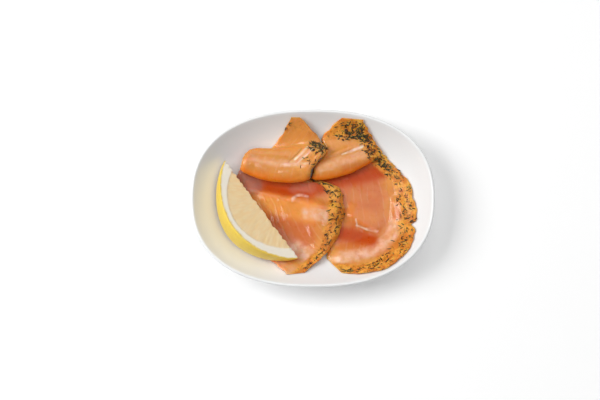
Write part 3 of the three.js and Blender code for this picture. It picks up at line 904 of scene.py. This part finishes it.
def bed_threads(rng, cut, count, place_range, across_range):
    """The threads of one bed and those that fork from them, without any that a pleat pulls long."""
    place, across, heading, length = dill_spread(rng, count, place_range, across_range)
    curl = rng.normal(0, THREAD_CURL, count)
    rise = rng.gamma(*THREAD_RISE, count)
    paths, outward, places, acrosses = thread_paths(cut, place, across, heading, length, curl, rise)
    forks = np.flatnonzero(rng.random(count) < FORK_CHANCE)
    side = rng.choice((-1, 1), len(forks)) * rng.uniform(*FORK_TURNS, len(forks))
    fork_paths, fork_outward, _, _ = thread_paths(
        cut,
        places[forks, 1],
        acrosses[forks, 1],
        heading[forks] + side,
        FORK_LENGTH * length[forks],
        -side,
        rise[forks] + FORK_RISE,
    )
    paths = np.concatenate([paths, fork_paths])
    outward = np.concatenate([outward, fork_outward])
    drawn = np.linalg.norm(np.diff(paths, axis=1), axis=-1).sum(1)
    kept = drawn < THREAD_STRETCH * THREAD_LENGTHS[1]
    return paths[kept], outward[kept]


def thread_mesh(paths, outward, widths):
    """Vertices and faces of closed, tapered threads, one after the other."""
    side = unit(np.cross(np.gradient(paths, axis=1), outward))
    share = np.linspace(0, 1, THREAD_RINGS)
    radius = widths[:, None] * (0.55 + 1.5 * share - 1.85 * share**2)
    angle = np.arange(THREAD_SIDES) * 2 * math.pi / THREAD_SIDES
    upright = THREAD_FLATNESS * outward
    ring = side[:, :, None] * np.cos(angle)[:, None] + upright[:, :, None] * np.sin(angle)[:, None]
    vertices = (paths[:, :, None] + ring * radius[:, :, None, None]).reshape(-1, 3)
    around = np.arange(THREAD_SIDES)
    onward = np.roll(around, -1)
    band = np.stack([around, onward, onward + THREAD_SIDES, around + THREAD_SIDES], -1)
    sides = [band + row * THREAD_SIDES for row in range(THREAD_RINGS - 1)]
    caps = [around[None, ::-1], around[None] + (THREAD_RINGS - 1) * THREAD_SIDES]
    one = np.concatenate(sides + caps)
    starts = np.arange(len(paths)) * THREAD_RINGS * THREAD_SIDES
    return vertices, (starts[:, None, None] + one).reshape(-1, THREAD_SIDES)


def build_dill():
    """All the beds of threads as one mesh, each thread with a tint of its own."""
    rng = np.random.default_rng(DILL_SEED)
    beds = [bed_threads(rng, *bed) for bed in DILL_BEDS]
    paths, outward = (np.concatenate(parts) for parts in zip(*beds))
    widths = THREAD_RADIUS * rng.uniform(*THREAD_WIDTHS, len(paths))
    vertices, faces = thread_mesh(paths, outward, widths)
    mesh = bpy.data.meshes.new("dill_threads")
    mesh.from_pydata((vertices * MM).tolist(), [], faces.tolist())
    dill = bpy.data.objects.new("dill_threads", mesh)
    bpy.context.scene.collection.objects.link(dill)
    bpy.ops.object.select_all(action="DESELECT")
    dill.select_set(True)
    bpy.context.view_layer.objects.active = dill
    set_attribute(dill, "tint", np.repeat(rng.random(len(paths)), THREAD_RINGS * THREAD_SIDES))
    bpy.ops.object.shade_smooth()
    return dill


def cured_dill():
    material, tree, shader = new_material("cured_dill")
    mottle = noise_value(tree, object_place(tree), 700.0)
    tint = calculated(tree, "ADD", attribute(tree, "tint"), ranged(tree, mottle, 0.3, 0.7, -0.25, 0.25))
    colour = mixed_colour(tree, ranged(tree, tint, 0.25, 1.2), DILL_DARK, DILL_GREEN)
    feed_all(tree, shader, {"Base Color": colour, "Roughness": 0.42})
    return material


finish_piece(build_dill(), cured_dill(), "dill")

# Lemon wedge
# About a ninth of a lemon, cut lengthwise and trimmed of its core, on one cut face with its rind to the wall.
# Under the dimpled yellow rind is a band of white pith, and then the wet flesh with its juice sacs.
LEMON_LENGTH = 87.0
LEMON_RADIUS = 33.0
LEMON_FULLNESS = 0.62
LEMON_SKEW = -0.03
LEMON_TOP_CUT = math.radians(33)
LEMON_UNDER_CUT = math.radians(-5)
LEMON_CORE_TRIM = 3.2
LEMON_MIDDLE = (-33.4, -5.3, 14.9)
LEMON_HEADING = math.radians(216.5)
LEMON_VOXEL = 0.5
RIND_DEPTH = 1.1
PITH_DEPTH = 5.2
PITH_AT_TIPS = 9.0
CORE_TORN = 0.9  # how far the torn membranes of the core stand out or in
CORE_REACH = 2.5  # how far out from the core they are torn
PULP_SINK = 0.3  # how far the cut flesh has shrunk in from the pith
SAC_SWELL = 0.14
SAC_WIDTH, SAC_LENGTH = 2.6, 6.0
SAC_SPREAD = 0.55  # width of a sac at the core, as a share of its width at the rind
RIND_YELLOW = (0.97, 0.76, 0.11, 1.0)
RIND_DEEP = (0.87, 0.55, 0.05, 1.0)
PITH_CREAM = (1.0, 0.95, 0.81, 1.0)
PULP_PALE = (1.0, 0.79, 0.47, 1.0)
PULP_DEEP = (0.99, 0.73, 0.39, 1.0)
RIND_ROUGHNESS, PITH_ROUGHNESS, PULP_ROUGHNESS = 0.38, 0.62, 0.24

LEMON_BISECTOR = (LEMON_TOP_CUT + LEMON_UNDER_CUT) / 2
LEMON_OUTWARD = np.array((math.cos(LEMON_BISECTOR), math.sin(LEMON_BISECTOR), 0))


def lemon_radius(share):
    """Radius of the fruit along its axis, whose share runs from -1 to 1."""
    swing = math.pi / 2 * (share - LEMON_SKEW * (1 - share**2))
    return LEMON_RADIUS * np.maximum(0, np.cos(swing)) ** LEMON_FULLNESS


def pulp_depth(points):
    """How deep each point of the fruit lies in the pulp, below nothing in the pith."""
    half = LEMON_LENGTH / 2 - PITH_AT_TIPS
    swing = math.pi / 2 * np.clip(points[:, 2] / half, -1, 1)
    reach = (LEMON_RADIUS - PITH_DEPTH) * np.maximum(0, np.cos(swing)) ** LEMON_FULLNESS
    return reach - np.hypot(points[:, 0], points[:, 1])


def cut_flat(point, normal):
    """Cuts away the side of the selected mesh that the normal points to, and closes the cut."""
    bpy.ops.mesh.select_all(action="SELECT")
    bpy.ops.mesh.bisect(plane_co=point, plane_no=normal, use_fill=True, clear_outer=True)


def build_lemon():
    """A ball drawn out to a lemon, cut to a wedge, and given an even mesh for its relief."""
    lemon = new_piece(
        "lemon_wedge_cut", bpy.ops.mesh.primitive_uv_sphere_add, segments=96, ring_count=64, radius=1
    )
    ball = vertex_array(lemon)
    radial = np.hypot(ball[:, 0], ball[:, 1])
    share = np.clip(ball[:, 2], -1, 1)
    wide = lemon_radius(share) / np.maximum(radial, 1e-9)
    move_vertices(lemon, np.stack([ball[:, 0] * wide, ball[:, 1] * wide, share * LEMON_LENGTH / 2], -1))
    bpy.ops.object.mode_set(mode="EDIT")
    cut_flat((0, 0, 0), (-math.sin(LEMON_TOP_CUT), math.cos(LEMON_TOP_CUT), 0))
    cut_flat((0, 0, 0), (math.sin(LEMON_UNDER_CUT), -math.cos(LEMON_UNDER_CUT), 0))
    trim = LEMON_CORE_TRIM * math.cos((LEMON_TOP_CUT - LEMON_UNDER_CUT) / 2)
    cut_flat(trim * LEMON_OUTWARD, -LEMON_OUTWARD)
    bpy.ops.object.mode_set(mode="OBJECT")
    apply_modifier(lemon, "REMESH", mode="VOXEL", voxel_size=LEMON_VOXEL)
    apply_modifier(lemon, "SMOOTH", factor=0.5, iterations=3)
    shape_lemon(lemon)
    bpy.ops.object.shade_smooth()
    return lemon


def lemon_place():
    """Turns the fruit's own axes to the dish: outwards, upwards and along the wedge."""
    outward = Vector((math.cos(LEMON_HEADING), math.sin(LEMON_HEADING), 0))
    upward = Vector((0, 0, 1))
    turn = Matrix((outward, upward, outward.cross(upward))).transposed().to_4x4()
    return Matrix.Translation(Vector(LEMON_MIDDLE) * MM) @ turn @ Matrix.Scale(MM, 4)


def shape_lemon(lemon):
    """Sinks the pulp a little, swells its juice sacs, and puts the wedge in its place."""
    points = vertex_array(lemon)
    normals = vertex_array(lemon, "vertex_normals", "vector")
    radial = np.hypot(points[:, 0], points[:, 1])
    share = np.clip(points[:, 2] / (LEMON_LENGTH / 2), -1, 1)
    whole = lemon_radius(share)
    depth = pulp_depth(points)
    pulp = smooth_step(depth, -0.6, 0.6)
    spread = lerp(SAC_SPREAD, 1, radial / np.maximum(whole, 1))
    sac_along, sac_out = points[:, 2] / spread / SAC_WIDTH, radial / SAC_LENGTH
    sacs = noise_at(np.stack([sac_along, sac_out, np.zeros_like(radial)], -1), 1.0, 5.0)
    lift = pulp * (SAC_SWELL * sacs - PULP_SINK) + (1 - pulp) * 0.05 * noise_at(points, 2.5, 1.0)
    by_core = 1 - smooth_step(points @ LEMON_OUTWARD, LEMON_CORE_TRIM, LEMON_CORE_TRIM + CORE_REACH)
    torn = CORE_TORN * (noise_at(points, 2.6, 3.0) + 0.6 * noise_at(points, 1.2, 6.0))
    marks = {"under_rind": whole - radial, "pulp_depth": depth, "sac_along": sac_along, "sac_out": sac_out}
    for name, values in marks.items():
        set_attribute(lemon, name, values)
    move_vertices(lemon, points + normals * lift[:, None] + LEMON_OUTWARD * (by_core * torn)[:, None])
    lemon.data.transform(lemon_place())


def cell_distance(tree, place, scale, feature):
    """Distance to the middle of the nearest cell."""
    inputs = {"Vector": place, "Scale": scale}
    return add_node(tree, "TexVoronoi", inputs, feature=feature).outputs["Distance"]


def lemon_flesh():
    """Pored yellow rind, cream pith and wet pulp, told apart by how deep a point lies in the fruit."""
    material, tree, shader = new_material("lemon_rind_pith_and_pulp")
    place = object_place(tree)
    uneven = ranged(tree, noise_value(tree, place, 300.0), 0.2, 0.8, -0.5, 0.5)
    under = calculated(tree, "ADD", attribute(tree, "under_rind"), uneven)
    depth = calculated(tree, "ADD", attribute(tree, "pulp_depth"), uneven)
    is_pith = ranged(tree, under, RIND_DEPTH - 0.8, RIND_DEPTH + 1.5)
    is_pulp = ranged(tree, depth, -1.8, 1.4)
    rind = mixed_colour(tree, noise_value(tree, place, 45.0), RIND_YELLOW, RIND_DEEP)
    sac_axes = {"X": attribute(tree, "sac_along"), "Y": attribute(tree, "sac_out")}
    sac_place = add_node(tree, "CombineXYZ", sac_axes).outputs["Vector"]
    sacs = cell_distance(tree, sac_place, 1.3, "SMOOTH_F1")
    pulp = mixed_colour(tree, ranged(tree, sacs, 0.15, 0.75), PULP_PALE, PULP_DEEP)
    dry_colour = mixed_colour(tree, is_pith, rind, PITH_CREAM)
    dry_rough = ranged(tree, is_pith, 0, 1, RIND_ROUGHNESS, PITH_ROUGHNESS)
    wetness = calculated(tree, "MULTIPLY", is_pulp, PITH_ROUGHNESS - PULP_ROUGHNESS)
    is_rind = calculated(tree, "SUBTRACT", 1.0, is_pith)
    pores = ranged(tree, cell_distance(tree, place, 800.0, "F1"), 0.0, 0.5)
    pore_height = calculated(tree, "MULTIPLY", pores, is_rind)
    normal = bumped(tree, pore_height, 0.25 * MM, 0.6)
    sac_height = calculated(tree, "MULTIPLY", calculated(tree, "SUBTRACT", 1.0, sacs), is_pulp)
    feed_all(tree, shader, {
        "Base Color": mixed_colour(tree, is_pulp, dry_colour, pulp),
        "Roughness": calculated(tree, "SUBTRACT", dry_rough, wetness),
        "Normal": bumped(tree, sac_height, 0.2 * MM, 0.15, normal),
        "Subsurface Weight": 0.1,
        "Subsurface Radius": (1.0, 0.8, 0.35),
        "Subsurface Scale": 2.0 * MM,
    })
    return material


finish_piece(build_lemon(), lemon_flesh(), "lemon", "lemon_wedge")

# Floor and light
# A plain white table in a white room, with a window on the left, a large soft light high up behind
# towards the right, and a small one over the eater's side.
FLOOR_SIZE = 4.0
FLOOR_WHITE = (0.93, 0.93, 0.93, 1.0)
FLOOR_SHADE = (0.91, 0.91, 0.91, 1.0)
FLOOR_GLOW = 0.095
SURROUND_GLOW = 0.16  # how much light the white room itself gives back
LIGHT_DISTANCE = 3.0
floor = new_piece("table_top", bpy.ops.mesh.primitive_plane_add, size=FLOOR_SIZE)
floor_material, floor_tree, floor_shader = new_material("white_table")
floor_cloud = noise_value(floor_tree, object_place(floor_tree), 6.0)
feed_all(floor_tree, floor_shader, {
    "Base Color": mixed_colour(floor_tree, floor_cloud, FLOOR_WHITE, FLOOR_SHADE),
    "Roughness": 0.7,
    "Emission Color": (1, 1, 1, 1),
    "Emission Strength": FLOOR_GLOW,
})
floor.data.materials.append(floor_material)


def soft_light(name, azimuth, elevation, size, power):
    """A square soft light in a direction from the dish, aimed at it."""
    azimuth, elevation = math.radians(azimuth), math.radians(elevation)
    flat = math.cos(elevation)
    toward = Vector((flat * math.cos(azimuth), flat * math.sin(azimuth), math.sin(elevation)))
    data = bpy.data.lights.new(name, "AREA")
    data.size = size
    data.energy = power
    light = bpy.data.objects.new(name, data)
    light.location = toward * LIGHT_DISTANCE
    light.rotation_euler = toward.to_track_quat("Z", "Y").to_euler()
    bpy.context.scene.collection.objects.link(light)


soft_light("window_light", 169, 43, 1.7, 68.0)
soft_light("back_light", 58, 66, 2.4, 32.0)
soft_light("overhead_light", 285, 72, 0.8, 11.0)
world = bpy.data.worlds.new("studio")
world.use_nodes = True
world_tree = world.node_tree
seen = add_node(world_tree, "LightPath").outputs["Is Camera Ray"]
glow = ranged(world_tree, seen, 0, 1, SURROUND_GLOW, 1.0)
feed_all(world_tree, world_tree.nodes["Background"], {"Color": (1, 1, 1, 1), "Strength": glow})
bpy.context.scene.world = world
bpy.context.scene.view_settings.view_transform = "Standard"

# Camera
# It looks down on the dish from the eater's side, from far off with a long lens.
VIEW_ELEVATION = math.radians(82)
VIEW_WIDTH = 417.2 * MM  # width of the frame at the height of the rim
VIEW_TARGET = Vector((-8.83, -1.6, 24.0)) * MM
LENS, SENSOR = 150.0, 36.0
camera_data = bpy.data.cameras.new("camera")
camera_data.lens = LENS
camera_data.sensor_width = SENSOR
camera = bpy.data.objects.new("camera", camera_data)
back_off = VIEW_WIDTH * LENS / SENSOR
camera.location = VIEW_TARGET + back_off * Vector((0, -math.cos(VIEW_ELEVATION), math.sin(VIEW_ELEVATION)))
camera.rotation_euler = (math.pi / 2 - VIEW_ELEVATION, 0, 0)
bpy.context.scene.collection.objects.link(camera)
bpy.context.scene.camera = camera
